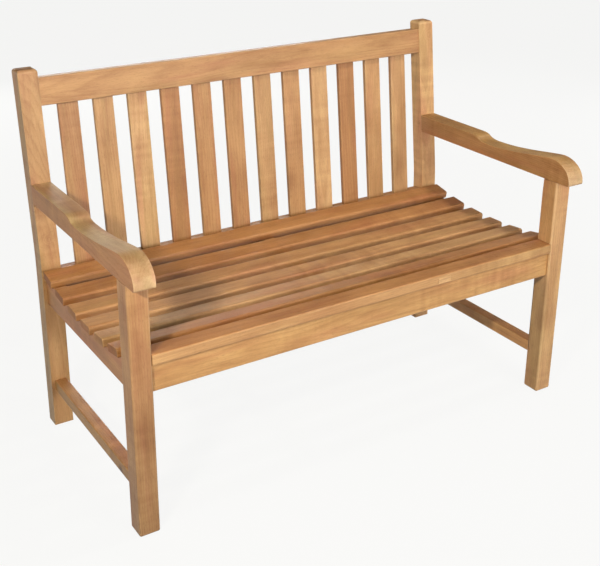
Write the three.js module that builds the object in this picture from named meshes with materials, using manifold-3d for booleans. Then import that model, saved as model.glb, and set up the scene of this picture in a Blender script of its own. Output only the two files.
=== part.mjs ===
// A two-seat garden bench in solid teak, as an assembly of its real boards.
//
// The frame is mortised and tenoned: four legs, two armrests, a top and a lower back rail, a front
// apron, two dished side rails, a centre bearer and two low stretchers. Twelve upright slats are
// housed in the back rails. Six seat slats lie across the dished rails, and a seat board covers the
// apron. Round pegs are driven into the joints from the faces that look into the bench. A small blank
// plate is let into the face of the seat board.
//
// Units are millimetres and +Z is up. While the boards are made, X runs along the bench with 0 in
// its middle, and Y runs backwards with 0 on the front face of the front legs. The last lines move
// the bench so that the origin is on the ground in the middle of its outline.

import * as THREE from 'three';
import { mergeVertices } from 'three/addons/utils/BufferGeometryUtils.js';
import Module from 'manifold-3d';

const wasm = await Module();
wasm.setup();

// ---- Driving dimensions -------------------------------------------------------------------------

// The whole bench
const BENCH_WIDTH = 1200; // over the outer faces of the legs
const BENCH_HEIGHT = 900; // to the top of the back posts
const SEAT_DEPTH = 516; // front face of the front legs to front face of the rear legs

// Clearances
const GAP = 0.3; // between two boards that touch
const MORTISE_CLEARANCE = 0.3; // round a tenon or a housed slat, on each side
const MORTISE_END_CLEARANCE = 1.5; // beyond the end of a tenon
const PEG_CLEARANCE = 0.15; // round a peg, on the radius

// Legs
const LEG_WIDTH = 48; // along the bench
const FRONT_LEG_DEPTH = 48;
const REAR_LEG_DEPTH = 40;
const ARM_UNDERSIDE = 590; // top of the front legs
const KINK_HEIGHT = 455; // where the rear legs start to lean
const KINK_BLEND = 35; // half the length of the bend
const BACK_LEAN = THREE.MathUtils.degToRad(6.5);

// Joints
const TENON_THICKNESS = 12;
const TENON_SHOULDER = 8; // board left above and below a tenon
const RAIL_TENON_LENGTH = 24; // apron and back rails
const SIDE_TENON_LENGTH = 16; // side rails and stretchers
const CORNER_WALL = 4; // wood left between two mortises that meet in one leg
const CHEEK = 3; // least wood between a back rail's or apron's tenon and its faces
const ARM_TENON_LENGTH = 22;
const ARM_TENON_HEIGHT = 26;
const LEG_TENON_SIDE = 24; // square tenon on top of a front leg
const LEG_TENON_LENGTH = 20;
const PEG_RADIUS = 4;
const PEG_LENGTH = 34; // pegs that cross a leg's width
const TOP_RAIL_PEG_LENGTH = 30;
const LOWER_RAIL_PEG_LENGTH = 24;
const PEG_SIDES = 16;
const ROOT = 1; // how far a tenon's block starts inside its own board

// Back
const POST_ABOVE_RAIL = 20;
const TOP_RAIL_HEIGHT = 66;
const TOP_RAIL_THICKNESS = 34;
const LOWER_RAIL_TOP = 419;
const LOWER_RAIL_HEIGHT = 64;
const LOWER_RAIL_THICKNESS = 30;
const BACK_RAIL_RECESS = 2; // face of the back rails behind the face of the posts
const BACK_SLAT_COUNT = 12;
const BACK_SLAT_WIDTH = 50;
const BACK_SLAT_THICKNESS = 12;
const BACK_SLAT_HOUSING = 12; // how deep a slat goes into each rail
const BACK_END_GAP = 43; // first and last slat to the posts

// Seat
const DISH_LOW_HEIGHT = 402.5; // lowest line of the sitting surface
const DISH_LOW_DEPTH = 270; // how far back that line is
const DISH_RADIUS = 1040;
const SEAT_SLAT_COUNT = 6;
const SEAT_SLAT_WIDTH = 52;
const SEAT_SLAT_THICKNESS = 20;
const SEAT_SLAT_TOP_RADIUS = 6;
const SEAT_SLAT_BOTTOM_RADIUS = 2;
const SEAT_SLAT_END_INSET = 1; // ends of the slats inside the outer faces of the legs
const SEAT_REAR_GAP = 7; // last slat to the rear legs
const SEAT_BOARD_TOP = 427;
const SEAT_BOARD_THICKNESS = 26;
const SEAT_BOARD_DEPTH = 46;
const SEAT_BOARD_RADIUS = 4;
const PLATE_WIDTH = 36; // small blank plate in the face of the seat board
const PLATE_HEIGHT = 14;
const PLATE_THICKNESS = 1;
const PLATE_RECESS = 1; // depth of its seat in the board
const PLATE_BELOW_TOP = 8; // its upper edge below the top of the board
const PLATE_OFFSET = 207; // its middle, to the right of the middle of the bench

// Rails under the seat
const SEAT_FRAME_BOTTOM = 338; // underside of the apron and the side rails
const APRON_THICKNESS = 28;
const APRON_RECESS = 8; // face of the apron behind the face of the legs
const SIDE_RAIL_THICKNESS = 30;
const BEARER_THICKNESS = 30;
const BEARER_BOTTOM = 350;
const BEARER_TENON_LENGTH = 10;
const SEAT_DOWEL_COUNT = 3;
const SEAT_DOWEL_LENGTH = 32;
const SEAT_DOWEL_END_DISTANCE = 120; // outer dowels from the legs

// Stretchers
const STRETCHER_SIDE = 30; // square section
const STRETCHER_BOTTOM = 97;

// Armrests: heights of the top above the underside, and where they are
const ARM_WIDTH = 48;
const ARM_REAR_THICKNESS = 46.5;
const ARM_WAIST_THICKNESS = 33.5;
const ARM_CREST_THICKNESS = 58;
const ARM_OVERHANG = 38; // nose in front of the front leg
const ARM_CREST_DEPTH = 28; // highest point of the nose
const ARM_WAIST_DEPTH = 262; // thinnest point
const ARM_STEP_LENGTH = 63; // waist to the end of the rear flat
const ARM_CHIN_HEIGHT = 6; // small round under the nose

// Colours of the boards, which come from different planks
const TEAK_TONES = [0xcf9f68, 0xc79560, 0xd4a873, 0xbf8c58, 0xd9ae7c];
const PEG_TONE = 0xa87445;
const PLATE_TONE = 0xe3bd8c;

// ---- Values that follow from them ---------------------------------------------------------------

const HALF_WIDTH = BENCH_WIDTH / 2;
const INNER_WIDTH = BENCH_WIDTH - 2 * LEG_WIDTH;
const SIDES = { left: -1, right: 1 };
const NO_TURN = new THREE.Matrix4();

// Frame of the leaning back: its origin is the kink on the posts' front face, Z runs up the post.
const BACK_FRAME = leaningFrame(SEAT_DEPTH, KINK_HEIGHT, BACK_LEAN);
const TOP_RAIL_TOP = (BENCH_HEIGHT - POST_ABOVE_RAIL - KINK_HEIGHT) / Math.cos(BACK_LEAN);
const TOP_RAIL_BOTTOM = TOP_RAIL_TOP - TOP_RAIL_HEIGHT;
const TOP_RAIL_MIDDLE = BACK_RAIL_RECESS + TOP_RAIL_THICKNESS / 2;

// Middle of the armrest's rear end, up the leaning post
const ARM_JOINT_MIDDLE = (ARM_UNDERSIDE + ARM_REAR_THICKNESS / 2 - KINK_HEIGHT) / Math.cos(BACK_LEAN);

// The lower back rail stands upright between the posts.
const LOWER_RAIL_FRONT = SEAT_DEPTH + BACK_RAIL_RECESS;
const LOWER_RAIL_BACK = LOWER_RAIL_FRONT + LOWER_RAIL_THICKNESS;
const LOWER_RAIL_MIDDLE = (LOWER_RAIL_FRONT + LOWER_RAIL_BACK) / 2;
const LOWER_RAIL_BOTTOM = LOWER_RAIL_TOP - LOWER_RAIL_HEIGHT;

// The back slats run straight from the middle of one rail to the middle of the other.
const slatHead = new THREE.Vector3(0, TOP_RAIL_MIDDLE, TOP_RAIL_BOTTOM).applyMatrix4(BACK_FRAME);
const SLAT_RUN = slatHead.y - LOWER_RAIL_MIDDLE;
const SLAT_RISE = slatHead.z - LOWER_RAIL_TOP;
const SLAT_FRAME = leaningFrame(LOWER_RAIL_MIDDLE, LOWER_RAIL_TOP, Math.atan2(SLAT_RUN, SLAT_RISE));
const SLAT_SPAN = Math.hypot(SLAT_RUN, SLAT_RISE);

const SIDE_RAIL_INSET = (LEG_WIDTH - SIDE_RAIL_THICKNESS) / 2;
const STRETCHER_INSET = (LEG_WIDTH - STRETCHER_SIDE) / 2;
const ARM_INSET = (LEG_WIDTH - ARM_WIDTH) / 2;
const APRON_BACK = APRON_RECESS + APRON_THICKNESS;
const APRON_TOP = SEAT_BOARD_TOP - SEAT_BOARD_THICKNESS - GAP;
const SEAT_GAP = (SEAT_DEPTH - SEAT_REAR_GAP - SEAT_BOARD_DEPTH - SEAT_SLAT_COUNT * SEAT_SLAT_WIDTH)
  / SEAT_SLAT_COUNT;

// ---- Solids -------------------------------------------------------------------------------------

// A frame whose Z axis leans backwards by the given angle, with its origin at (0, y, z).
function leaningFrame(y, z, angle) {
  const turn = new THREE.Matrix4().makeRotationX(-angle);
  return new THREE.Matrix4().makeTranslation(0, y, z).multiply(turn);
}

// Height of the sitting surface at a distance back.
function dishHeight(y) {
  const run = y - DISH_LOW_DEPTH;
  return DISH_LOW_HEIGHT + DISH_RADIUS - Math.sqrt(DISH_RADIUS ** 2 - run ** 2);
}

// X of a point so far inside the outer face of the legs, on the left (-1) or right (+1) side.
function inside(side, distance) {
  return side * (HALF_WIDTH - distance);
}

function toSolid(geometry, frame = NO_TURN) {
  geometry.applyMatrix4(frame);
  geometry.deleteAttribute('normal');
  geometry.deleteAttribute('uv');
  const merged = mergeVertices(geometry, 1e-4);
  return new wasm.Manifold(new wasm.Mesh({
    numProp: 3,
    vertProperties: new Float32Array(merged.attributes.position.array),
    triVerts: new Uint32Array(merged.index.array),
  }));
}

// A box between two values on each axis, given in either order.
function block(x, y, z, frame = NO_TURN) {
  const size = [x, y, z].map(([a, b]) => Math.abs(b - a));
  const centre = [x, y, z].map(([a, b]) => (a + b) / 2);
  return toSolid(new THREE.BoxGeometry(...size).translate(...centre), frame);
}

function around(middle, size) {
  return [middle - size / 2, middle + size / 2];
}

function widen([a, b], amount) {
  return [Math.min(a, b) - amount, Math.max(a, b) + amount];
}

// The hole for a tenon: the tenon's box, wider all round and longer along its own axis.
function mortise(x, y, z, axis, frame = NO_TURN) {
  const spans = { x, y, z };
  for (const name of Object.keys(spans)) {
    spans[name] = widen(spans[name], name === axis ? MORTISE_END_CLEARANCE : MORTISE_CLEARANCE);
  }
  return block(spans.x, spans.y, spans.z, frame);
}

// A side outline, drawn as (y, z), made into a board between two values of X.
function boardFromOutline(shape, x) {
  const [low, high] = widen(x, 0);
  const geometry = new THREE.ExtrudeGeometry(shape, {
    depth: high - low, bevelEnabled: false, curveSegments: 8,
  });
  // The outline's own axes become Y and Z, and the extrusion runs along X.
  const turn = new THREE.Matrix4().makeBasis(
    new THREE.Vector3(0, 1, 0), new THREE.Vector3(0, 0, 1), new THREE.Vector3(1, 0, 0));
  return toSolid(geometry, new THREE.Matrix4().makeTranslation(low, 0, 0).multiply(turn));
}

function rod(radius, length, axis, start) {
  const geometry = new THREE.CylinderGeometry(radius, radius, length, PEG_SIDES);
  geometry.translate(0, length / 2, 0);
  const turn = new THREE.Quaternion().setFromUnitVectors(new THREE.Vector3(0, 1, 0), axis);
  geometry.applyQuaternion(turn);
  return toSolid(geometry.translate(...start.toArray()));
}

// ---- The bench: solids are collected by name, joined and cut, and turned into meshes at the end --

const boards = new Map();
const bench = new THREE.Group();

function addTo(name, solid) {
  boards.set(name, boards.has(name) ? boards.get(name).add(solid) : solid);
}

function cutFrom(name, solid) {
  boards.set(name, boards.get(name).subtract(solid));
}

// A tenon on one board and its mortise in another.
function tenonJoint({ guest, host, x, y, z, axis, frame = NO_TURN }) {
  addTo(guest, block(x, y, z, frame));
  cutFrom(host, mortise(x, y, z, axis, frame));
}

// A peg driven in from a face, through every board that is named.
function peg(name, { start, axis, through, length = PEG_LENGTH }) {
  const overshoot = 1;
  for (const board of through) {
    const hole = rod(PEG_RADIUS + PEG_CLEARANCE, length + 2 * overshoot, axis,
      start.clone().addScaledVector(axis, -overshoot));
    cutFrom(board, hole);
  }
  addTo(name, rod(PEG_RADIUS, length, axis, start));
}

function frontLegs() {
  for (const [name, side] of Object.entries(SIDES)) {
    const x = [inside(side, 0), inside(side, LEG_WIDTH)];
    addTo(`front_leg_${name}`, block(x, [0, FRONT_LEG_DEPTH], [0, ARM_UNDERSIDE]));
  }
}

// Rear leg: upright to the kink, then leaning backwards to the top of the post.
function rearLegOutline() {
  const lean = BACK_LEAN;
  const up = new THREE.Vector2(Math.sin(lean), Math.cos(lean));
  const back = SEAT_DEPTH + REAR_LEG_DEPTH;
  const frontKink = new THREE.Vector2(SEAT_DEPTH, KINK_HEIGHT);
  const backKink = new THREE.Vector2(back, KINK_HEIGHT - REAR_LEG_DEPTH * Math.tan(lean / 2));
  const atTop = (kink) => kink.clone().addScaledVector(up, (BENCH_HEIGHT - kink.y) / up.y);
  const shape = new THREE.Shape();
  const frontTop = atTop(frontKink);
  const backTop = atTop(backKink);
  const bend = (kink, from, to) => {
    shape.lineTo(kink.x + from.x * KINK_BLEND, kink.y + from.y * KINK_BLEND);
    shape.quadraticCurveTo(kink.x, kink.y, kink.x + to.x * KINK_BLEND, kink.y + to.y * KINK_BLEND);
  };
  const down = new THREE.Vector2(0, -1);
  shape.moveTo(SEAT_DEPTH, 0);
  shape.lineTo(back, 0);
  bend(backKink, down, up);
  shape.lineTo(backTop.x, backTop.y);
  shape.lineTo(frontTop.x, frontTop.y);
  bend(frontKink, up, down);
  shape.closePath();
  return shape;
}

function rearLegs() {
  for (const [name, side] of Object.entries(SIDES)) {
    addTo(`rear_leg_${name}`,
      boardFromOutline(rearLegOutline(), [inside(side, 0), inside(side, LEG_WIDTH)]));
  }
}

// Armrest: straight underside, a flat rear, a step down to a long hollow, and a rolled nose.
function armOutline(rearEnd) {
  const height = (above) => ARM_UNDERSIDE + GAP + above;
  const nose = -ARM_OVERHANG;
  const crest = ARM_CREST_DEPTH;
  const waist = ARM_WAIST_DEPTH;
  const step = waist + ARM_STEP_LENGTH;
  const stepMiddle = waist + ARM_STEP_LENGTH * 0.54;
  const stepHeight = (ARM_REAR_THICKNESS + ARM_WAIST_THICKNESS) / 2;
  const shape = new THREE.Shape();
  shape.moveTo(rearEnd, height(0));
  shape.lineTo(rearEnd, height(ARM_REAR_THICKNESS));
  shape.lineTo(step, height(ARM_REAR_THICKNESS));
  shape.quadraticCurveTo(step - ARM_STEP_LENGTH * 0.3, height(ARM_REAR_THICKNESS),
    stepMiddle, height(stepHeight));
  shape.quadraticCurveTo(stepMiddle - ARM_STEP_LENGTH * 0.17, height(ARM_WAIST_THICKNESS),
    waist, height(ARM_WAIST_THICKNESS));
  shape.bezierCurveTo(waist - (waist - crest) * 0.4, height(ARM_WAIST_THICKNESS - 1),
    crest + (waist - crest) * 0.14, height(ARM_CREST_THICKNESS - 1),
    crest, height(ARM_CREST_THICKNESS));
  shape.bezierCurveTo(crest - (crest - nose) * 0.55, height(ARM_CREST_THICKNESS),
    nose, height(ARM_CREST_THICKNESS * 0.62), nose, height(ARM_CHIN_HEIGHT));
  shape.quadraticCurveTo(nose, height(0), nose + ARM_CHIN_HEIGHT, height(0));
  shape.closePath();
  return shape;
}

function armrests() {
  const beyondPost = SEAT_DEPTH + 2 * REAR_LEG_DEPTH;
  const postFace = [-GAP, BENCH_HEIGHT];
  for (const [name, side] of Object.entries(SIDES)) {
    const arm = `armrest_${name}`;
    addTo(arm, boardFromOutline(armOutline(beyondPost),
      [inside(side, ARM_INSET), inside(side, ARM_INSET + ARM_WIDTH)]));
    cutFrom(arm, block([-BENCH_WIDTH, BENCH_WIDTH], postFace, [-BENCH_HEIGHT, BENCH_HEIGHT],
      BACK_FRAME));
    const tenonX = around(inside(side, LEG_WIDTH / 2), TENON_THICKNESS);
    // Measured in the leaning frame, so that the rear tenon stands square on the post's face.
    tenonJoint({
      guest: arm, host: `rear_leg_${name}`, axis: 'y', frame: BACK_FRAME, x: tenonX,
      y: [-GAP - ROOT, ARM_TENON_LENGTH], z: around(ARM_JOINT_MIDDLE, ARM_TENON_HEIGHT),
    });
    const half = LEG_TENON_SIDE / 2;
    tenonJoint({
      guest: `front_leg_${name}`, host: arm, axis: 'z',
      x: [inside(side, LEG_WIDTH / 2 - half), inside(side, LEG_WIDTH / 2 + half)],
      y: [FRONT_LEG_DEPTH / 2 - half, FRONT_LEG_DEPTH / 2 + half],
      z: [ARM_UNDERSIDE - ROOT, ARM_UNDERSIDE + LEG_TENON_LENGTH],
    });
  }
}

// A board between the two posts or legs, with a tenon at each end.
function railBetweenLegs(name, hosts, { y, z, tenonY, tenonZ, frame }) {
  const end = HALF_WIDTH - LEG_WIDTH - GAP;
  addTo(name, block([-end, end], y, z, frame));
  for (const [word, side] of Object.entries(SIDES)) {
    tenonJoint({
      guest: name, host: `${hosts}_${word}`, axis: 'x', frame, y: tenonY, z: tenonZ,
      x: [side * (end - ROOT), inside(side, LEG_WIDTH - RAIL_TENON_LENGTH)],
    });
  }
}

function backRails() {
  railBetweenLegs('top_back_rail', 'rear_leg', {
    frame: BACK_FRAME,
    y: [BACK_RAIL_RECESS, BACK_RAIL_RECESS + TOP_RAIL_THICKNESS],
    z: [TOP_RAIL_BOTTOM, TOP_RAIL_TOP],
    tenonY: around(TOP_RAIL_MIDDLE, TENON_THICKNESS),
    tenonZ: [TOP_RAIL_BOTTOM + TENON_SHOULDER, TOP_RAIL_TOP - TENON_SHOULDER],
  });
  railBetweenLegs('lower_back_rail', 'rear_leg', {
    frame: NO_TURN,
    y: [LOWER_RAIL_FRONT, LOWER_RAIL_BACK],
    z: [LOWER_RAIL_BOTTOM, LOWER_RAIL_TOP],
    // Set back from the middle, to stay clear of the side rail's tenon in the same leg.
    tenonY: [SEAT_DEPTH + SIDE_TENON_LENGTH + CORNER_WALL, LOWER_RAIL_BACK - CHEEK],
    tenonZ: [LOWER_RAIL_BOTTOM + TENON_SHOULDER, LOWER_RAIL_TOP - TENON_SHOULDER],
  });
}

function backSlats() {
  const pitch = (INNER_WIDTH - 2 * BACK_END_GAP - BACK_SLAT_WIDTH) / (BACK_SLAT_COUNT - 1);
  const first = -INNER_WIDTH / 2 + BACK_END_GAP + BACK_SLAT_WIDTH / 2;
  for (let i = 0; i < BACK_SLAT_COUNT; i += 1) {
    const x = around(first + i * pitch, BACK_SLAT_WIDTH);
    const y = around(0, BACK_SLAT_THICKNESS);
    const z = [-BACK_SLAT_HOUSING, SLAT_SPAN + BACK_SLAT_HOUSING];
    const slat = `back_slat_${String(i + 1).padStart(2, '0')}`;
    addTo(slat, block(x, y, z, SLAT_FRAME));
    const housing = mortise(x, y, z, 'z', SLAT_FRAME);
    cutFrom('top_back_rail', housing);
    cutFrom('lower_back_rail', housing);
  }
}

function frontRails() {
  railBetweenLegs('front_apron', 'front_leg', {
    frame: NO_TURN,
    y: [APRON_RECESS, APRON_BACK],
    z: [SEAT_FRAME_BOTTOM, APRON_TOP],
    // Near the face of the leg, to stay clear of the side rail's tenon.
    tenonY: [APRON_RECESS + CHEEK, FRONT_LEG_DEPTH - SIDE_TENON_LENGTH - CORNER_WALL],
    tenonZ: [SEAT_FRAME_BOTTOM + TENON_SHOULDER, APRON_TOP - TENON_SHOULDER],
  });
  const end = HALF_WIDTH - LEG_WIDTH - GAP;
  addTo('seat_front_board',
    boardFromOutline(roundedOutline(0, SEAT_BOARD_DEPTH, SEAT_BOARD_TOP - SEAT_BOARD_THICKNESS,
      SEAT_BOARD_TOP, SEAT_BOARD_RADIUS, SEAT_BOARD_RADIUS), [-end, end]));
  const reach = end - SEAT_DOWEL_END_DISTANCE;
  for (let i = 0; i < SEAT_DOWEL_COUNT; i += 1) {
    const x = -reach + (2 * reach * i) / (SEAT_DOWEL_COUNT - 1);
    const middle = (APRON_RECESS + APRON_BACK) / 2;
    peg(`seat_board_dowel_${i + 1}`, {
      start: new THREE.Vector3(x, middle, APRON_TOP - SEAT_DOWEL_LENGTH / 2),
      axis: new THREE.Vector3(0, 0, 1), length: SEAT_DOWEL_LENGTH,
      through: ['front_apron', 'seat_front_board'],
    });
  }
}

// The blank plate stands a little proud of the board, on a bed of the usual clearance.
function frontPlate() {
  const x = around(PLATE_OFFSET, PLATE_WIDTH);
  const bed = PLATE_RECESS - GAP;
  const z = [SEAT_BOARD_TOP - PLATE_BELOW_TOP - PLATE_HEIGHT, SEAT_BOARD_TOP - PLATE_BELOW_TOP];
  cutFrom('seat_front_board', block(widen(x, GAP), [-PLATE_RECESS, PLATE_RECESS], widen(z, GAP)));
  addTo('blank_front_plate', block(x, [bed - PLATE_THICKNESS, bed], z));
}

// A rectangle in (y, z) with round corners: one radius for the top pair and one for the bottom pair.
function roundedOutline(y0, y1, z0, z1, top, bottom) {
  const shape = new THREE.Shape();
  shape.moveTo(y0 + bottom, z0);
  shape.lineTo(y1 - bottom, z0);
  shape.absarc(y1 - bottom, z0 + bottom, bottom, -Math.PI / 2, 0);
  shape.absarc(y1 - top, z1 - top, top, 0, Math.PI / 2);
  shape.absarc(y0 + top, z1 - top, top, Math.PI / 2, Math.PI);
  shape.absarc(y0 + bottom, z0 + bottom, bottom, Math.PI, 1.5 * Math.PI);
  return shape;
}

// The dished top of a bearer: an arc that the seat slats lie on.
function dishedOutline(yFront, yRear, bottom) {
  const shape = new THREE.Shape();
  const centre = DISH_LOW_HEIGHT + DISH_RADIUS;
  const radius = DISH_RADIUS + SEAT_SLAT_THICKNESS + GAP;
  const angle = (y) => Math.atan2(-Math.sqrt(radius ** 2 - (y - DISH_LOW_DEPTH) ** 2),
    y - DISH_LOW_DEPTH);
  shape.moveTo(yFront, bottom);
  shape.lineTo(yRear, bottom);
  shape.absarc(DISH_LOW_DEPTH, centre, radius, angle(yRear), angle(yFront), true);
  shape.closePath();
  return shape;
}

function seatBearers() {
  for (const [name, side] of Object.entries(SIDES)) {
    const rail = `side_seat_rail_${name}`;
    const x = [inside(side, SIDE_RAIL_INSET), inside(side, SIDE_RAIL_INSET + SIDE_RAIL_THICKNESS)];
    const front = FRONT_LEG_DEPTH + GAP;
    const rear = SEAT_DEPTH - GAP;
    addTo(rail, boardFromOutline(dishedOutline(front, rear, SEAT_FRAME_BOTTOM), x));
    const tenonX = around(inside(side, LEG_WIDTH / 2), TENON_THICKNESS);
    const z = [SEAT_FRAME_BOTTOM + TENON_SHOULDER, APRON_TOP - TENON_SHOULDER];
    tenonJoint({
      guest: rail, host: `front_leg_${name}`, axis: 'y', x: tenonX, z,
      y: [FRONT_LEG_DEPTH - SIDE_TENON_LENGTH, front + ROOT],
    });
    tenonJoint({
      guest: rail, host: `rear_leg_${name}`, axis: 'y', x: tenonX, z,
      y: [rear - ROOT, SEAT_DEPTH + SIDE_TENON_LENGTH],
    });
  }
  const bearer = 'centre_seat_bearer';
  const x = around(0, BEARER_THICKNESS);
  const front = APRON_BACK + GAP;
  const rear = LOWER_RAIL_FRONT - GAP;
  addTo(bearer, boardFromOutline(dishedOutline(front, rear, BEARER_BOTTOM), x));
  cutFrom(bearer, block(widen(x, 1), [0, SEAT_BOARD_DEPTH + GAP], [APRON_TOP, SEAT_BOARD_TOP]));
  const tenonX = around(0, TENON_THICKNESS);
  const z = [BEARER_BOTTOM + TENON_SHOULDER, APRON_TOP - TENON_SHOULDER];
  tenonJoint({
    guest: bearer, host: 'front_apron', axis: 'y', x: tenonX, z,
    y: [APRON_BACK - BEARER_TENON_LENGTH, front + ROOT],
  });
  tenonJoint({
    guest: bearer, host: 'lower_back_rail', axis: 'y', x: tenonX,
    z: [z[0] + TENON_SHOULDER, z[1]],
    y: [rear - ROOT, LOWER_RAIL_FRONT + BEARER_TENON_LENGTH],
  });
}

// Seat slats, numbered from the back. Each lies square on the dish under its own middle.
function seatSlats() {
  const end = HALF_WIDTH - SEAT_SLAT_END_INSET;
  const outline = roundedOutline(-SEAT_SLAT_WIDTH / 2, SEAT_SLAT_WIDTH / 2, -SEAT_SLAT_THICKNESS, 0,
    SEAT_SLAT_TOP_RADIUS, SEAT_SLAT_BOTTOM_RADIUS);
  for (let i = 0; i < SEAT_SLAT_COUNT; i += 1) {
    const y = SEAT_DEPTH - SEAT_REAR_GAP - SEAT_SLAT_WIDTH / 2 - i * (SEAT_SLAT_WIDTH + SEAT_GAP);
    const slope = Math.asin((y - DISH_LOW_DEPTH) / DISH_RADIUS);
    // A flat board on a hollow rests on its two lower edges, a little above the arc.
    const chordRise = SEAT_SLAT_WIDTH ** 2 / (8 * DISH_RADIUS);
    const frame = leaningFrame(y, dishHeight(y) + chordRise, 0)
      .multiply(new THREE.Matrix4().makeRotationX(slope));
    const slat = boardFromOutline(outline, [-end, end]).transform(frame.toArray());
    addTo(`seat_slat_${i + 1}`, slat);
  }
}

function stretchers() {
  for (const [name, side] of Object.entries(SIDES)) {
    const stretcher = `side_stretcher_${name}`;
    const x = [inside(side, STRETCHER_INSET), inside(side, STRETCHER_INSET + STRETCHER_SIDE)];
    const z = [STRETCHER_BOTTOM, STRETCHER_BOTTOM + STRETCHER_SIDE];
    addTo(stretcher, block(x, [FRONT_LEG_DEPTH + GAP, SEAT_DEPTH - GAP], z));
    const tenonX = around(inside(side, LEG_WIDTH / 2), TENON_THICKNESS);
    const tenonZ = around(STRETCHER_BOTTOM + STRETCHER_SIDE / 2, STRETCHER_SIDE - TENON_SHOULDER);
    tenonJoint({
      guest: stretcher, host: `front_leg_${name}`, axis: 'y', x: tenonX, z: tenonZ,
      y: [FRONT_LEG_DEPTH - SIDE_TENON_LENGTH, FRONT_LEG_DEPTH + GAP + ROOT],
    });
    tenonJoint({
      guest: stretcher, host: `rear_leg_${name}`, axis: 'y', x: tenonX, z: tenonZ,
      y: [SEAT_DEPTH - GAP - ROOT, SEAT_DEPTH + SIDE_TENON_LENGTH],
    });
  }
}

// Pegs go in from the faces that look into the bench, or from behind.
function pegs() {
  const forwards = new THREE.Vector3(0, -1, 0);
  for (const [name, side] of Object.entries(SIDES)) {
    const outwards = new THREE.Vector3(side, 0, 0);
    const innerFace = (y, z) => new THREE.Vector3(inside(side, LEG_WIDTH), y, z);
    const frontLeg = `front_leg_${name}`;
    const rearLeg = `rear_leg_${name}`;
    const arm = `armrest_${name}`;
    const tenonMiddle = SIDE_TENON_LENGTH / 2;
    const stretcherZ = STRETCHER_BOTTOM + STRETCHER_SIDE / 2;
    peg(`peg_front_stretcher_${name}`, {
      start: innerFace(FRONT_LEG_DEPTH - tenonMiddle, stretcherZ), axis: outwards,
      through: [frontLeg, `side_stretcher_${name}`],
    });
    peg(`peg_rear_stretcher_${name}`, {
      start: innerFace(SEAT_DEPTH + tenonMiddle, stretcherZ), axis: outwards,
      through: [rearLeg, `side_stretcher_${name}`],
    });
    peg(`peg_arm_front_${name}`, {
      start: new THREE.Vector3(inside(side, ARM_INSET + ARM_WIDTH), FRONT_LEG_DEPTH / 2,
        ARM_UNDERSIDE + LEG_TENON_LENGTH / 2),
      axis: outwards, through: [arm, frontLeg], length: LEG_TENON_SIDE + TENON_THICKNESS,
    });
    const armPeg = new THREE.Vector3(0, ARM_TENON_LENGTH / 2, ARM_JOINT_MIDDLE)
      .applyMatrix4(BACK_FRAME);
    peg(`peg_arm_rear_${name}`, {
      start: innerFace(armPeg.y, armPeg.z), axis: outwards, through: [rearLeg, arm],
    });
    peg(`peg_side_rail_${name}`, {
      start: innerFace(FRONT_LEG_DEPTH - tenonMiddle, (SEAT_FRAME_BOTTOM + APRON_TOP) / 2),
      axis: outwards,
      through: [frontLeg, `side_seat_rail_${name}`],
    });
    const railPegX = inside(side, LEG_WIDTH - RAIL_TENON_LENGTH / 2);
    const forwardsInBack = forwards.clone().transformDirection(BACK_FRAME);
    const spread = TOP_RAIL_HEIGHT / 4;
    const railMiddle = (TOP_RAIL_BOTTOM + TOP_RAIL_TOP) / 2;
    [railMiddle + spread / 2, railMiddle - spread / 2].forEach((z, i) => {
      const start = new THREE.Vector3(railPegX, REAR_LEG_DEPTH, z).applyMatrix4(BACK_FRAME);
      peg(`peg_top_rail_${name}_${i + 1}`, {
        start, axis: forwardsInBack, through: [rearLeg, 'top_back_rail'],
        length: TOP_RAIL_PEG_LENGTH,
      });
    });
    peg(`peg_lower_rail_${name}`, {
      start: new THREE.Vector3(railPegX, SEAT_DEPTH + REAR_LEG_DEPTH,
        (LOWER_RAIL_BOTTOM + LOWER_RAIL_TOP) / 2),
      axis: forwards, through: [rearLeg, 'lower_back_rail'], length: LOWER_RAIL_PEG_LENGTH,
    });
  }
}

frontLegs();
rearLegs();
armrests();
backRails();
backSlats();
frontRails();
frontPlate();
seatBearers();
seatSlats();
stretchers();
pegs();

// ---- Meshes -------------------------------------------------------------------------------------

function toMesh(name, solid, tone) {
  const { numProp, vertProperties, triVerts } = solid.getMesh();
  const positions = new Float32Array((vertProperties.length / numProp) * 3);
  for (let i = 0; i < positions.length / 3; i += 1) {
    positions.set(vertProperties.subarray(i * numProp, i * numProp + 3), i * 3);
  }
  const geometry = new THREE.BufferGeometry();
  geometry.setAttribute('position', new THREE.BufferAttribute(positions, 3));
  geometry.setIndex(new THREE.BufferAttribute(new Uint32Array(triVerts), 1));
  geometry.computeVertexNormals();
  const material = new THREE.MeshStandardMaterial({ color: tone, roughness: 0.6, metalness: 0 });
  const mesh = new THREE.Mesh(geometry, material);
  mesh.name = name;
  return mesh;
}

function toneOf(name, index) {
  if (name.includes('peg') || name.includes('dowel')) {
    return PEG_TONE;
  }
  return name.includes('plate') ? PLATE_TONE : TEAK_TONES[index % TEAK_TONES.length];
}

[...boards].forEach(([name, solid], index) => bench.add(toMesh(name, solid, toneOf(name, index))));

// The origin goes on the ground, in the middle of the bench's outline.
const outline = new THREE.Box3().setFromObject(bench);
const middle = outline.getCenter(new THREE.Vector3());
bench.position.set(-middle.x, -middle.y, -outline.min.z);
bench.updateMatrixWorld(true);

export default bench;
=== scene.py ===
# A two-seat teak garden bench, dressed for its portrait.
#
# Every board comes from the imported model. Its mesh is copied, its flat faces are joined up, its free
# arrises are eased as a sander would, and it gets a solid procedural teak with its own plank, tint
# and figure. The copy stands for the board that it came from.

import math
import random

import bmesh
import bpy
from mathutils import Matrix, Vector
from mathutils.bvhtree import BVHTree


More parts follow.
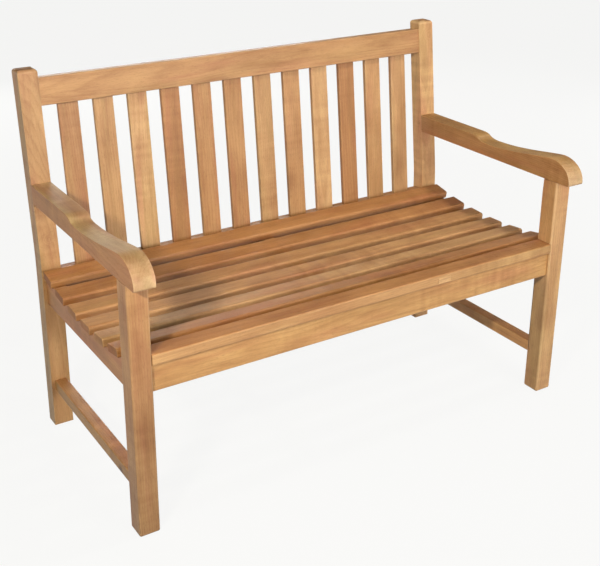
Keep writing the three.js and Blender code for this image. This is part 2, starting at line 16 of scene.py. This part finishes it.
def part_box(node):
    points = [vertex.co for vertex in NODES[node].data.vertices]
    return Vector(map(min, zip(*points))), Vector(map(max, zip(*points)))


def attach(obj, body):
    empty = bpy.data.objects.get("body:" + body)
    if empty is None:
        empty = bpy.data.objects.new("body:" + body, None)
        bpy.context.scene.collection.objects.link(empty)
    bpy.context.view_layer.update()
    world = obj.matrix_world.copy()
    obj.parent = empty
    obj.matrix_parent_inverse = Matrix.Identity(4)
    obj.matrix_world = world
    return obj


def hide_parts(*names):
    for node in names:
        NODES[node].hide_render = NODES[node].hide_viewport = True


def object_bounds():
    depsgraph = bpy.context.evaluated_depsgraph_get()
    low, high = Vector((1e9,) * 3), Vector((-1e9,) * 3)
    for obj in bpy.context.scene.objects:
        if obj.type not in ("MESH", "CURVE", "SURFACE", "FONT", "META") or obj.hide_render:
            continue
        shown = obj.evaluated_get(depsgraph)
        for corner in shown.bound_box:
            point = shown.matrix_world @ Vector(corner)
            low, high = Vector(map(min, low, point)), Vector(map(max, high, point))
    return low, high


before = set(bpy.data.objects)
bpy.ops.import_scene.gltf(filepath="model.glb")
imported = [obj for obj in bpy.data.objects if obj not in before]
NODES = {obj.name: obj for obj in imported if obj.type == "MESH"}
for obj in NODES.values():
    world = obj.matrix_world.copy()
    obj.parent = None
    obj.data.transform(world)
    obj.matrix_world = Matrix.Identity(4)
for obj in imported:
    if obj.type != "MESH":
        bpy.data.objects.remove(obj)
cad_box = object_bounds()

MM = 0.001
LOW, HIGH = cad_box
MIDDLE = (LOW + HIGH) / 2
UP = Vector((0, 0, 1))

# ---- Camera ---------------------------------------------------------------------------------------

# A standing viewpoint, in front of the bench and to its left. The angles turn it left and tip it down.
CAMERA_PLACE = Vector((-1.2994, -1.9962, 1.4414))
CAMERA_TURN = math.radians(-31.53)
CAMERA_DIP = math.radians(21.06)
FOCAL_IN_WIDTHS = 1.7352  # focal length over the picture's width
SHIFT_X = 0.0324
SHIFT_Y = -0.1133
SENSOR = 36.0
CLIP = (0.05, 100.0)


def link(thing):
    bpy.context.scene.collection.objects.link(thing)
    return thing


def make_camera():
    data = bpy.data.cameras.new("camera")
    data.sensor_width = SENSOR
    data.lens = SENSOR * FOCAL_IN_WIDTHS
    data.shift_x = SHIFT_X
    data.shift_y = SHIFT_Y
    data.clip_start, data.clip_end = CLIP
    camera = link(bpy.data.objects.new("camera", data))
    camera.location = CAMERA_PLACE
    camera.rotation_euler = (math.pi / 2 - CAMERA_DIP, 0, CAMERA_TURN)
    bpy.context.scene.camera = camera


# ---- Node trees -----------------------------------------------------------------------------------

class Tree:
    """Short words for building one node tree."""

    def __init__(self, tree):
        self.tree = tree

    def node(self, kind, **settings):
        made = self.tree.nodes.new(kind)
        for key, value in settings.items():
            setattr(made, key, value)
        return made

    def put(self, source, target):
        if isinstance(source, (int, float, tuple)):
            target.default_value = source
        else:
            self.tree.links.new(source, target)

    def math(self, operation, a, b=0.0, c=0.0):
        made = self.node("ShaderNodeMath", operation=operation)
        self.put(a, made.inputs[0])
        self.put(b, made.inputs[1])
        self.put(c, made.inputs[2])
        return made.outputs[0]

    def vector(self, operation, a, b, output="Vector"):
        made = self.node("ShaderNodeVectorMath", operation=operation)
        self.put(a, made.inputs[0])
        self.put(b, made.inputs[1])
        return made.outputs[output]

    def stretch(self, a, factors):
        return self.vector("MULTIPLY", a, factors)

    def attribute(self, name, output="Fac"):
        return self.node("ShaderNodeAttribute", attribute_name=name).outputs[output]

    def noise(self, where, detail=2.0, roughness=0.5):
        made = self.node("ShaderNodeTexNoise")
        self.put(where, made.inputs["Vector"])
        made.inputs["Scale"].default_value = 1.0
        made.inputs["Detail"].default_value = detail
        made.inputs["Roughness"].default_value = roughness
        return made.outputs["Fac"]

    def between(self, value, low, high, top=1.0):
        """0 below low, rising smoothly to top at high."""
        made = self.node("ShaderNodeMapRange", interpolation_type="SMOOTHSTEP")
        self.put(value, made.inputs["Value"])
        made.inputs["From Min"].default_value = low
        made.inputs["From Max"].default_value = high
        made.inputs["To Max"].default_value = top
        return made.outputs["Result"]

    def ramp(self, value, stops):
        made = self.node("ShaderNodeValToRGB")
        self.put(value, made.inputs[0])
        elements = made.color_ramp.elements
        while len(elements) < len(stops):
            elements.new(0.5)
        for element, (place, level) in zip(elements, stops):
            element.position = place
            colour = level if isinstance(level, tuple) else (level, level, level)
            element.color = (*colour, 1)
        return made.outputs[0]

    def mix(self, how, factor, a, b):
        made = self.node("ShaderNodeMix", data_type="RGBA", blend_type=how)
        self.put(factor, made.inputs[0])
        self.put(a, made.inputs[6])
        self.put(b, made.inputs[7])
        return made.outputs[2]


def srgb(red, green, blue):
    """A colour given as 0 to 255 values, made linear."""
    def linear(value):
        value /= 255
        return value / 12.92 if value <= 0.04045 else ((value + 0.055) / 1.055) ** 2.4
    return (linear(red), linear(green), linear(blue), 1.0)


# ---- Studio ---------------------------------------------------------------------------------------

# The key is a lamp to the left and in front, near enough to fade towards the bench's right end.
KEY_AIM = Vector((-0.35, -0.10, 0.45))
KEY_FROM = Vector((-1.2, -1.05, 1.0))
KEY_DISTANCE = 2.3
KEY_SIZE = 0.20
KEY_POWER = 44
KEY_COLOUR = (1.0, 0.94, 0.82)
# The top lamp hangs over the right end, and lights the arm and the slats there from above.
TOP_PLACE = Vector((0.57, -0.42, 2.15))
TOP_AIM = Vector((0.25, 0.0, 0.43))
TOP_SIZE = 0.16
TOP_POWER = 14
# Soft panels: where they hang, their width and height, and their power in watts.
FRONT_PANEL = (Vector((0.8, -3.15, 1.0)), 2.2, 1.1, 70)
RIGHT_PANEL = (Vector((3.6, 0.5, 1.1)), 2.0, 1.0, 44)
REAR_PANEL = (Vector((0.9, 3.6, 1.0)), 2.6, 0.9, 50)
HORIZON = (0.30, 0.26, 0.19)  # warm light from all round, as off pale wooden walls
ZENITH = (0.02, 0.018, 0.014)
GROUND = (0.19, 0.155, 0.105)
HORIZON_TOP = 0.36  # height of the bright band's upper edge, as the sine of its elevation
# Places on the room's ramp, which runs from straight down at 0 to straight up at 1.
GROUND_EDGE = 0.46
HORIZON_FOOT = 0.492
EYE_LEVEL = 0.5
HORIZON_FADE = 0.12
WARM_WHITE = (1.0, 0.99, 0.97)


def aim(thing, direction):
    thing.rotation_euler = Vector(direction).to_track_quat("-Z", "Y").to_euler()


def make_panel(name, place, width, height, power, target=MIDDLE, colour=WARM_WHITE):
    data = bpy.data.lights.new(name, "AREA")
    data.shape = "RECTANGLE"
    data.size = width
    data.size_y = height
    data.energy = power
    data.color = colour
    panel = link(bpy.data.objects.new(name, data))
    panel.location = place
    panel.visible_camera = False
    aim(panel, target - place)


def make_lights():
    key_place = KEY_AIM + KEY_FROM.normalized() * KEY_DISTANCE
    make_panel("key", key_place, KEY_SIZE, KEY_SIZE, KEY_POWER, KEY_AIM, KEY_COLOUR)
    make_panel("top", TOP_PLACE, TOP_SIZE, TOP_SIZE, TOP_POWER, TOP_AIM)
    make_panel("front_panel", *FRONT_PANEL)
    make_panel("right_panel", *RIGHT_PANEL)
    make_panel("rear_panel", *REAR_PANEL)


def make_room():
    """Pale walls all round the horizon, and a dimmer ceiling and ground."""
    world = bpy.data.worlds.new("room")
    world.use_nodes = True
    t = Tree(world.node_tree)
    direction = t.node("ShaderNodeTexCoord").outputs["Generated"]
    split = t.node("ShaderNodeSeparateXYZ")
    t.put(direction, split.inputs[0])
    band_top = EYE_LEVEL + HORIZON_TOP / 2
    height = t.math("MULTIPLY_ADD", split.outputs["Z"], 0.5, EYE_LEVEL)
    rise = t.ramp(height, [(0.0, GROUND), (GROUND_EDGE, GROUND), (HORIZON_FOOT, HORIZON),
                           (band_top, HORIZON), (band_top + HORIZON_FADE, ZENITH), (1.0, ZENITH)])
    t.put(rise, world.node_tree.nodes["Background"].inputs["Color"])
    bpy.context.scene.world = world


# The paper reflects little and glows by itself, so that the panels hardly show on it.
PAPER = (0.045, 0.045, 0.044325, 1.0)
PAPER_GLOW = (1.0, 1.0, 0.99, 1.0)
FLOOR_HALF = 30.0
FLOOR_GLOW = 0.90
WALL_GLOW = 0.93
WALL_RADIUS = 24.0
WALL_FOOT = -0.2
WALL_TOP = 16.0
WALL_SIDES = 48


def make_paper(name, glow):
    material = bpy.data.materials.new(name)
    material.use_nodes = True
    shader = material.node_tree.nodes["Principled BSDF"]
    shader.inputs["Base Color"].default_value = PAPER
    shader.inputs["Roughness"].default_value = 1.0
    shader.inputs["Specular IOR Level"].default_value = 0.0
    shader.inputs["Emission Color"].default_value = PAPER_GLOW
    shader.inputs["Emission Strength"].default_value = glow
    return material


def make_floor():
    """A lit paper floor. Its glow keeps the shadows on it light, and it doesn't light the bench."""
    mesh = bpy.data.meshes.new("floor")
    s = FLOOR_HALF
    mesh.from_pydata([(-s, -s, 0), (s, -s, 0), (s, s, 0), (-s, s, 0)], [], [(0, 1, 2, 3)])
    mesh.materials.append(make_paper("floor_paper", FLOOR_GLOW))
    floor = link(bpy.data.objects.new("floor", mesh))
    floor.visible_diffuse = False


def make_wall():
    """A round paper wall far behind everything. Only the camera sees it."""
    mesh = bpy.data.meshes.new("wall")
    turns = [2 * math.pi * i / WALL_SIDES for i in range(WALL_SIDES)]
    ring = [(WALL_RADIUS * math.cos(a), WALL_RADIUS * math.sin(a)) for a in turns]
    verts = [(x, y, z) for z in (WALL_FOOT, WALL_TOP) for x, y in ring]
    n = WALL_SIDES
    faces = [(i, (i + 1) % n, n + (i + 1) % n, n + i) for i in range(n)]
    mesh.from_pydata(verts, [], faces)
    mesh.materials.append(make_paper("wall_paper", WALL_GLOW))
    wall = link(bpy.data.objects.new("wall", mesh))
    wall.visible_diffuse = False
    wall.visible_glossy = False
    wall.visible_shadow = False


def set_view():
    view = bpy.context.scene.view_settings
    view.view_transform = "Standard"
    view.look = "None"


# ---- Teak -----------------------------------------------------------------------------------------

EARLY = srgb(190, 148, 100)  # pale wood of the growth rings
LATE = srgb(160, 113, 69)  # their darker, denser edge
STREAK = srgb(130, 87, 51)
PORE = srgb(80, 52, 30)
BLUSH = srgb(178, 122, 87)
OLIVE = srgb(170, 138, 86)
KNOT = srgb(84, 48, 26)
BLOTCH = srgb(200, 176, 158)  # a factor: where the oil went in deeper
# Paler colour on eased arrises: partly rubbed wear, partly a painted highlight.
EDGE_WEAR_AND_HIGHLIGHT = srgb(236, 206, 165)

# The patterns in the wood: their waves per metre along, across and through the plank, how many finer
# octaves they carry, and how strong each is against the last.
PATTERNS = {
    "wander": ((2.2, 14.0, 14.0), 2.0, 0.5),
    "uneven": ((0.35, 26.0, 26.0), 1.0, 0.5),
    "blush": ((3.2, 22.0, 22.0), 2.0, 0.5),
    "olive": ((2.0, 17.0, 31.0), 1.0, 0.5),
    "cloud": ((7.0, 34.0, 34.0), 3.0, 0.55),
    "blotch": ((4.5, 11.0, 11.0), 2.0, 0.6),
    "streak": ((3.0, 150.0, 150.0), 3.0, 0.6),
    "band": ((1.3, 60.0, 60.0), 2.0, 0.5),
    "curl": ((55.0, 7.0, 7.0), 1.0, 0.5),
    "curly": ((2.5, 3.0, 3.0), 0.0, 0.5),
    "fibre": ((22.0, 900.0, 900.0), 3.0, 0.65),
    "pores": ((85.0, 2300.0, 2300.0), 1.0, 0.5),
}
# Colour laid over the rings: the pattern, where it begins and is full, its share there, and its colour.
COLOUR_LAYERS = [
    ("blush", 0.48, 0.70, 0.55, BLUSH),
    ("olive", 0.50, 0.72, 0.45, OLIVE),
    ("streak", 0.50, 0.80, 0.28, STREAK),
    ("band", 0.55, 0.75, 0.30, LATE),
]
RING_SPACING = 5.2 * MM
RING_PROFILE = [(0.0, 0.25), (0.10, 0.0), (0.55, 0.28), (0.90, 1.0), (1.0, 0.25)]
RING_SHARE = 0.40
RING_LOSS_AT_ENDS = 0.65  # end grain shows its rings less
WANDER_BEND = 0.030  # how far the patterns push the rings, in metres
UNEVEN_BEND = 0.008
KNOT_BEND = 0.012
KNOT_SWIRL = (3.2, 0.6)  # where the swirl begins and is full, in knot radii
KNOT_EDGE = (1.25, 0.35)
KNOT_SHARE = 0.85
PORE_EDGE = (0.60, 0.70)
PORE_SHARE = 0.40
CURLY_PATCH = (0.48, 0.64, 0.26)  # where cross figure begins and is full, and its share there
BLOTCH_PATCH = (0.50, 0.72, 0.42)
# Light and dark that a pattern gives, as the two ends of a ramp.
CLOUD_TONES = [(0.25, 0.12), (0.75, 0.88)]
FIBRE_TONES = [(0.2, 0.25), (0.8, 0.75)]
CURL_TONES = [(0.3, 0.2), (0.7, 0.8)]
CLOUD_SHARE = 0.42
FIBRE_SHARE = 0.35
EDGE_WEAR_AND_HIGHLIGHT_SHARE = 0.10
PLAIN_ROUGHNESS = 0.36
ROUGHNESS_BY_PART = {"fibre": 0.22, "pore": 0.18, "end": 0.14, "arris": -0.06}
HEIGHT_BY_PART = {"fibre": 0.5, "pore": -0.9, "ring": 0.35, "streak": 0.4}
SHEEN = 0.38
BUMP_STRENGTH = 0.4
BUMP_DEPTH = 0.4 * MM


def growth_rings(t, grain, wood):
    """Rings about a heart that lies off the plank, bent by slow wandering and round the knots."""
    radius = t.vector("LENGTH", t.stretch(grain, (0.0, 1.0, 1.0)), (0, 0, 0), "Value")
    bent = t.math("MULTIPLY_ADD", wood["wander"], WANDER_BEND, radius)
    bent = t.math("MULTIPLY_ADD", t.between(wood["knot"], *KNOT_SWIRL), KNOT_BEND, bent)
    bent = t.math("MULTIPLY_ADD", wood["uneven"], UNEVEN_BEND, bent)
    return t.ramp(t.math("FRACT", t.math("DIVIDE", bent, RING_SPACING)), RING_PROFILE)


def wood_colour(t, wood):
    figure = t.math("MULTIPLY_ADD", wood["end"], -RING_LOSS_AT_ENDS, 1.0)
    ring_share = t.math("MULTIPLY", figure, RING_SHARE)
    colour = t.mix("MIX", t.math("MULTIPLY", wood["ring"], ring_share), EARLY, LATE)
    for pattern, low, high, share, layer in COLOUR_LAYERS:
        colour = t.mix("MIX", t.between(wood[pattern], low, high, share), colour, layer)
    colour = t.mix("SOFT_LIGHT", CLOUD_SHARE, colour, t.ramp(wood["cloud"], CLOUD_TONES))
    colour = t.mix("MIX", t.math("MULTIPLY", wood["pore"], PORE_SHARE), colour, PORE)
    colour = t.mix("SOFT_LIGHT", FIBRE_SHARE, colour, t.ramp(wood["fibre"], FIBRE_TONES))
    colour = t.mix("MIX", t.between(wood["knot"], *KNOT_EDGE, KNOT_SHARE), colour, KNOT)
    curly = t.between(wood["curly"], *CURLY_PATCH)
    colour = t.mix("SOFT_LIGHT", curly, colour, t.ramp(wood["curl"], CURL_TONES))
    colour = t.mix("MULTIPLY", t.between(wood["blotch"], *BLOTCH_PATCH), colour, BLOTCH)
    # Eased arrises painted paler: partly wear, partly a painted highlight.
    colour = t.mix("SCREEN", t.math("MULTIPLY", wood["arris"], EDGE_WEAR_AND_HIGHLIGHT_SHARE), colour, EDGE_WEAR_AND_HIGHLIGHT)
    return t.mix("MULTIPLY", 1.0, colour, t.attribute("tint", "Color"))


def weighted_sum(t, wood, weights, total=0.0):
    for part, weight in weights.items():
        total = t.math("MULTIPLY_ADD", wood[part], weight, total)
    return total


def make_teak():
    """One solid teak. Boards differ by what their attributes say: the plank, its tint, and knots."""
    material = bpy.data.materials.new("teak")
    material.use_nodes = True
    t = Tree(material.node_tree)
    shader = material.node_tree.nodes["Principled BSDF"]
    grain = t.attribute("grain", "Vector")
    wood = {name: t.noise(t.stretch(grain, waves), detail, roughness)
            for name, (waves, detail, roughness) in PATTERNS.items()}
    wood["end"] = t.attribute("end")
    wood["arris"] = t.attribute("arris")
    wood["knot"] = t.vector("LENGTH", t.attribute("knot", "Vector"), (0, 0, 0), "Value")
    wood["pore"] = t.between(wood["pores"], *PORE_EDGE)
    wood["ring"] = growth_rings(t, grain, wood)
    t.put(wood_colour(t, wood), shader.inputs["Base Color"])

    roughness = weighted_sum(t, wood, ROUGHNESS_BY_PART, PLAIN_ROUGHNESS)
    t.put(roughness, shader.inputs["Roughness"])
    shader.inputs["Specular IOR Level"].default_value = SHEEN

    bump = t.node("ShaderNodeBump")
    bump.inputs["Strength"].default_value = BUMP_STRENGTH
    bump.inputs["Distance"].default_value = BUMP_DEPTH
    t.put(weighted_sum(t, wood, HEIGHT_BY_PART), bump.inputs["Height"])
    t.put(bump.outputs["Normal"], shader.inputs["Normal"])
    return material


# ---- Tints ----------------------------------------------------------------------------------------

# How a plank, or a face painted with light and shade, differs from the plain teak, as a factor on its
# red, green and blue.
TINTS = {
    "straw": (1.17, 1.20, 1.24),
    "fawn": (1.10, 1.07, 1.04),
    "honey": (1.02, 1.00, 0.98),
    "amber": (1.13, 1.09, 0.95),
    "ash": (1.00, 1.10, 1.22),
    "bone": (1.16, 1.34, 1.66),
    "painted_top_grey": (0.87, 0.94, 1.02),
    "rose": (1.00, 0.93, 0.88),
    "tan": (0.96, 0.87, 0.78),
    "brown": (0.90, 0.81, 0.78),
    "olive": (0.84, 0.80, 0.62),
    "russet": (0.89, 0.74, 0.63),
    "umber": (0.84, 0.67, 0.52),
    "blank": (1.42, 1.55, 1.75),
    "painted_side_pale": (1.40, 1.42, 1.50),
}
# Painted light and shade: how much lighter or darker whole families of boards are painted against their
# tint, where the lamps light them more or less. The first word that fits is used.
PAINTED_FAMILY_LIGHT = [("back_", 0.89), ("rear_leg_left", 0.87), ("front_leg_left", 0.94),
          ("front_leg_right", 1.06), ("stretcher_right", 1.15), ("", 1.0)]
END_TINT = Vector((0.74, 0.66, 0.60))  # end grain drinks more oil
UNDARKENED_ENDS = ("armrest", "peg")  # an arm's nose is pale, and a peg matches the board round it

BACK_SLAT_TINTS = ["brown", "honey", "straw", "russet", "tan", "tan", "honey", "rose", "straw",
                   "russet", "fawn", "straw"]
SEAT_SLAT_TINTS = ["umber", "umber", "tan", "rose", "honey", "umber"]
BOARD_TINTS = {
    "top_back_rail": "rose",
    "lower_back_rail": "russet",
    "rear_leg_left": "honey",
    "rear_leg_right": "straw",
    "front_leg_left": "rose",
    "front_leg_right": "straw",
    "armrest_left": "rose",
    "armrest_right": "rose",
    "front_apron": "amber",
    "seat_front_board": "fawn",
    "side_seat_rail_left": "russet",
    "side_seat_rail_right": "tan",
    "centre_seat_bearer": "tan",
    "side_stretcher_left": "olive",
    "side_stretcher_right": "amber",
    "blank_front_plate": "blank",
}
# A peg is tinted like a board close to it, so that it hardly shows.
PEG_BOARDS = [("arm", "armrest_left"), ("top_rail", "rear_leg_left"), ("lower_rail", "rear_leg_left"),
              ("", "front_leg_left")]
# Faces that look another way get another tint: painted light and shade, lighter or darker by how the
# lamps fall on that side.
FRONT = Vector((0, -1, 0))
LEFT = Vector((-1, 0, 0))
PAINTED_FACE_TINTS = {
    "armrest_left": [(UP, "painted_top_grey"), (LEFT, "umber"), (FRONT, "bone")],
    "armrest_right": [(UP, "olive"), (FRONT, "bone")],
    "seat_front_board": [(UP, "umber")],
    "side_stretcher_left": [(UP, "russet")],
    "side_stretcher_right": [(UP, "umber")],
    "rear_leg_left": [(LEFT, "ash")],
    "rear_leg_right": [(LEFT, "painted_side_pale")],
}
# A face up to 20 degrees off a side looks there fully, and one from 72 degrees off doesn't at all.
FACING_GAIN = 1.6
FACING_START = 0.5
# Painted shade: the front legs are painted darker towards the foot, where the lamps light them less.
PAINTED_FOOT_SHADE = {"front_leg_left": 0.30, "front_leg_right": 0.12}  # against the leg's top
FOOT_REACH = 0.55  # how far up a leg that reaches, in metres


def tint_of(name):
    if name.startswith("back_slat"):
        return BACK_SLAT_TINTS[int(name[-2:]) - 1]
    if name.startswith("seat_slat"):
        return SEAT_SLAT_TINTS[int(name[-1]) - 1]
    if name.startswith("peg"):
        return next(BOARD_TINTS[board] for word, board in PEG_BOARDS if word in name)
    return BOARD_TINTS.get(name, "tan")


def facing(face, side):
    """How far a face looks to that side, from 0 to 1."""
    return min(1.0, max(0.0, face.normal.dot(side) * FACING_GAIN - FACING_START))


def write_tint(mesh, name, ends):
    """Each corner's tint: the plank's own, with painted light and shade where a face looks another way,
    across whole families of boards, and towards a foot.
    """
    own = Vector(TINTS[tint_of(name)])
    # Painted light and shade for the board's family.
    painted_level = next(level for word, level in PAINTED_FAMILY_LIGHT if word in name)
    values = []
    for face, end in zip(mesh.polygons, ends):
        tint = own
        # Painted light and shade on faces that look another way.
        for side, other in PAINTED_FACE_TINTS.get(name, []):
            tint = tint.lerp(Vector(TINTS[other]), facing(face, side))
        if not name.startswith(UNDARKENED_ENDS):
            tint = tint.lerp(Vector([a * b for a, b in zip(tint, END_TINT)]), end)
        for corner in face.vertices:
            level = painted_level
            # Painted shade towards a front leg's foot.
            if name in PAINTED_FOOT_SHADE:
                rise = min(1.0, mesh.vertices[corner].co.z / FOOT_REACH)
                level -= PAINTED_FOOT_SHADE[name] * (1 - rise)
            values.append((*(tint * level), 1.0))
    write(mesh, "tint", "FLOAT_COLOR", "CORNER", "color", values)


# ---- Boards ---------------------------------------------------------------------------------------

# How far each kind of board's arrises are eased, in mm. The first word that fits is used.
EASES = [("rear_leg", 4.5), ("front_leg", 4.5), ("armrest", 5.5), ("back_rail", 3.0),
         ("apron", 2.5), ("back_slat", 2.0), ("seat_slat", 2.0), ("front_board", 2.0),
         ("stretcher", 3.0), ("side_seat_rail", 2.5), ("bearer", 2.0), ("plate", 0.15), ("", 0.1)]
EASE_SEGMENTS = 3
CROWNED = ("rear_leg_left", "rear_leg_right")  # posts whose tops are rounded off more
CROWN = 8 * MM
CROWN_REACH = 9 * MM  # a post's top leans, so its edges lie a little apart in height
SHARP = math.radians(30)
TOUCH = 1.2 * MM  # arrises closer than this to another board meet it, and stay crisp
NEARBY = 10 * MM  # boards farther apart than this can't meet
WELD = 0.02 * MM
FLAT = math.radians(0.6)


def clean_copy(node):
    """The node's mesh with shared corners welded and each flat face made one."""
    bm = bmesh.new()
    bm.from_mesh(node.data)
    bmesh.ops.remove_doubles(bm, verts=bm.verts, dist=WELD)
    bmesh.ops.dissolve_limit(bm, angle_limit=FLAT, verts=bm.verts, edges=bm.edges)
    bm.normal_update()
    return bm


def neighbour_tree(name):
    """A search tree of every other board that comes near this one."""
    low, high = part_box(name)
    verts, faces = [], []
    for other, node in NODES.items():
        a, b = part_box(other)
        apart = any(a[i] > high[i] + NEARBY or b[i] < low[i] - NEARBY for i in range(3))
        if other == name or apart:
            continue
        start = len(verts)
        verts += [v.co.copy() for v in node.data.vertices]
        faces += [[start + i for i in p.vertices] for p in node.data.polygons]
    return BVHTree.FromPolygons(verts, faces) if faces else None


def ease_arrises(bm, name):
    """Rounds the convex arrises that no other board meets, and marks the round faces."""
    near = neighbour_tree(name)
    arris = bm.faces.layers.float.new("arris")

    def is_free(edge):
        if len(edge.link_faces) != 2 or not edge.is_convex:
            return False
        if edge.calc_face_angle(0) < SHARP:
            return False
        middle = (edge.verts[0].co + edge.verts[1].co) / 2
        return near is None or near.find_nearest(middle)[3] > TOUCH

    def round_off(edges, size):
        made = bmesh.ops.bevel(bm, geom=edges, offset=size, segments=EASE_SEGMENTS, profile=0.5,
                               affect="EDGES", clamp_overlap=True, miter_outer="SHARP")
        for face in made["faces"]:
            face[arris] = 1.0
        bm.normal_update()

    if name in CROWNED:
        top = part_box(name)[1].z - CROWN_REACH
        round_off([e for e in bm.edges if is_free(e) and min(v.co.z for v in e.verts) > top], CROWN)
    size = next(ease for word, ease in EASES if word in name) * MM
    round_off([edge for edge in bm.edges if is_free(edge)], size)


def long_axis(name):
    """The direction of the board's grain."""
    low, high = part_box(name)
    size = high - low
    if name.startswith("back_slat"):
        lean = math.atan2(size.y, size.z)
        return Vector((0, math.sin(lean), math.cos(lean)))
    longest = max(range(3), key=lambda i: size[i])
    return Vector([1.0 if i == longest else 0.0 for i in range(3)])


def write(mesh, name, kind, domain, field, values):
    layer = mesh.attributes.new(name, kind, domain)
    for item, value in zip(layer.data, values):
        setattr(item, field, value)


# Knots: their board, their middle in the frame's metres, and their radius.
KNOTS = {
    "rear_leg_right": (Vector((0.579, 0.287, 0.8605)), 7 * MM),
    "rear_leg_left": (Vector((-0.576, 0.2315, 0.500)), 5 * MM),
    "side_stretcher_left": (Vector((-0.597, -0.175, 0.104)), 14 * MM),
}
NO_KNOT = (Vector((0, 0, 50)), MM)  # far away from every board
# The tree's heart from the plank's middle: how far off to a side, and how far along at most. In metres.
HEART_OFF = (0.03, 0.09)
HEART_ALONG = 9
GRAIN_SLOPE = 0.03  # the most that the grain runs out of a plank, in radians
# A face is all end grain where it is square to the grain, and none of it from 57 degrees off that.
END_GAIN = 2.2
END_START = 1.2


def write_wood(mesh, name, rng):
    """Puts each point's place in its plank on the mesh, with the tint, end grain and knot."""
    along = long_axis(name)
    across = UP if abs(along.z) < 0.5 else Vector((0, 1, 0))
    across = (across - along * across.dot(along)).normalized()
    through = along.cross(across)
    spin = rng.uniform(0, 2 * math.pi)
    off = rng.uniform(*HEART_OFF)
    heart = Vector((rng.uniform(-HEART_ALONG, HEART_ALONG), off * math.cos(spin), off * math.sin(spin)))
    tilt = Matrix.Rotation(rng.uniform(-GRAIN_SLOPE, GRAIN_SLOPE), 3, "Y")
    tilt = tilt @ Matrix.Rotation(rng.uniform(-GRAIN_SLOPE, GRAIN_SLOPE), 3, "Z")
    centre = sum(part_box(name), Vector()) / 2

    def plank_place(point):
        p = point - centre
        return tilt @ Vector((p.dot(along), p.dot(across), p.dot(through))) + heart

    points = [v.co for v in mesh.vertices]
    write(mesh, "grain", "FLOAT_VECTOR", "POINT", "vector", [plank_place(p) for p in points])
    place, size = KNOTS.get(name, NO_KNOT)
    write(mesh, "knot", "FLOAT_VECTOR", "POINT", "vector", [(p - place) / size for p in points])
    ends = [max(0.0, abs(f.normal.dot(along)) * END_GAIN - END_START) for f in mesh.polygons]
    write(mesh, "end", "FLOAT", "FACE", "value", ends)
    write_tint(mesh, name, ends)


def finish_board(name, teak):
    rng = random.Random(f"plank {name}")
    bm = clean_copy(NODES[name])
    ease_arrises(bm, name)
    mesh = bpy.data.meshes.new(f"{name}_board")
    bm.to_mesh(mesh)
    bm.free()
    mesh.shade_smooth()
    mesh.set_sharp_from_angle(angle=SHARP)
    write_wood(mesh, name, rng)
    mesh.materials.append(teak)
    piece = link(bpy.data.objects.new(f"{name}_board", mesh))
    even = piece.modifiers.new("even_normals", "WEIGHTED_NORMAL")
    even.keep_sharp = True
    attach(piece, "root")
    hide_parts(name)


def main():
    make_camera()
    make_room()
    make_floor()
    make_wall()
    make_lights()
    set_view()
    teak = make_teak()
    for name in sorted(NODES):
        finish_board(name, teak)


main()
